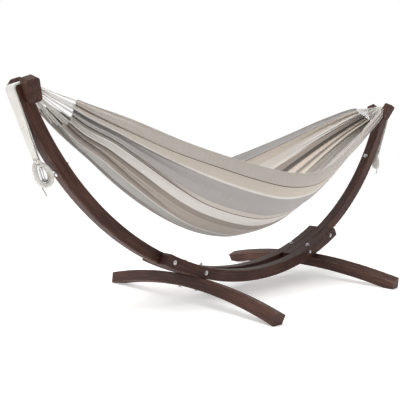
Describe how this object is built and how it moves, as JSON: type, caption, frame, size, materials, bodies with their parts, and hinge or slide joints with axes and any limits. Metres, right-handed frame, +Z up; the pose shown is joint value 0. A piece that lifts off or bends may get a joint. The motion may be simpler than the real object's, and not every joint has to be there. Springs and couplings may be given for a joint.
{
  "type": "hammock on stand",
  "caption": "Hammock of striped cloth hung by string fans between the tops of a bowed wooden stand made of bolted arc beams on arched cross feet.",
  "frame": {"origin": "on the floor at the middle of the stand", "axes": "+X along the hammock, +Y across it, +Z up"},
  "size_m": [2.6964, 1.208, 1.0374],
  "materials": {
    "stained_wood": "dark brown stain, satin",
    "striped_cloth": "woven cotton in lengthwise stripes, matte",
    "cotton_string": "twisted cotton string, matte",
    "whipping_cord": "tightly wound cotton cord, matte",
    "zinc_steel": "zinc plated, satin",
    "hook_steel": "zinc plated, polished by wear"
  },
  "bodies": {
    "stand": {"arm_left": "stained_wood", "arm_right": "stained_wood", "side_beam_near": "stained_wood", "side_beam_far": "stained_wood", "foot_left": "stained_wood", "foot_right": "stained_wood", "cheek_left_near": "stained_wood", "cheek_left_far": "stained_wood", "cheek_right_near": "stained_wood", "cheek_right_far": "stained_wood", "cross_bolts_left": "zinc_steel", "cross_bolts_right": "zinc_steel", "cross_washers_left": "zinc_steel", "cross_washers_right": "zinc_steel", "cross_nuts_left": "zinc_steel", "cross_nuts_right": "zinc_steel", "foot_bolts_left": "zinc_steel", "foot_bolts_right": "zinc_steel", "foot_washers_left": "zinc_steel", "foot_washers_right": "zinc_steel", "foot_cap_nuts_left": "zinc_steel", "foot_cap_nuts_right": "zinc_steel", "eye_bolt_left": "zinc_steel", "eye_bolt_right": "zinc_steel", "eye_washers_left": "zinc_steel", "eye_washers_right": "zinc_steel", "eye_nut_left": "zinc_steel", "eye_nut_right": "zinc_steel", "snap_hook_left": "hook_steel", "snap_hook_right": "hook_steel", "gate_pin_left": "hook_steel", "gate_pin_right": "hook_steel", "harness_left": "cotton_string", "harness_right": "cotton_string", "whipping_left": "whipping_cord", "whipping_right": "whipping_cord", "end_loop_left": "cotton_string", "end_loop_right": "cotton_string", "tail_left": "whipping_cord", "tail_right": "whipping_cord"},
    "hammock": {"cloth": "striped_cloth", "fan_left": "cotton_string", "fan_right": "cotton_string"},
    "gate_left": {"snap_gate_left": "hook_steel"},
    "gate_right": {"snap_gate_right": "hook_steel"}
  },
  "joints": [
    {"name": "hammock_sway", "type": "hinge", "parent": "stand", "child": "hammock", "pos_m": [0, 0, 0.985], "axis": [1, 0, 0], "range_deg": [-25, 25]},
    {"name": "snap_gate_left_open", "type": "hinge", "parent": "stand", "child": "gate_left", "pos_m": [-1.21924, -0.0115, 0.63383], "axis": [-0.9636, 0, -0.2672], "range_deg": [0, 25], "stiffness_Nm_per_rad": 0.03, "springref_deg": -17.19},
    {"name": "snap_gate_right_open", "type": "hinge", "parent": "stand", "child": "gate_right", "pos_m": [1.21924, -0.0115, 0.63383], "axis": [-0.9636, 0, 0.2672], "range_deg": [0, 25], "stiffness_Nm_per_rad": 0.03, "springref_deg": -17.19}
  ]
}
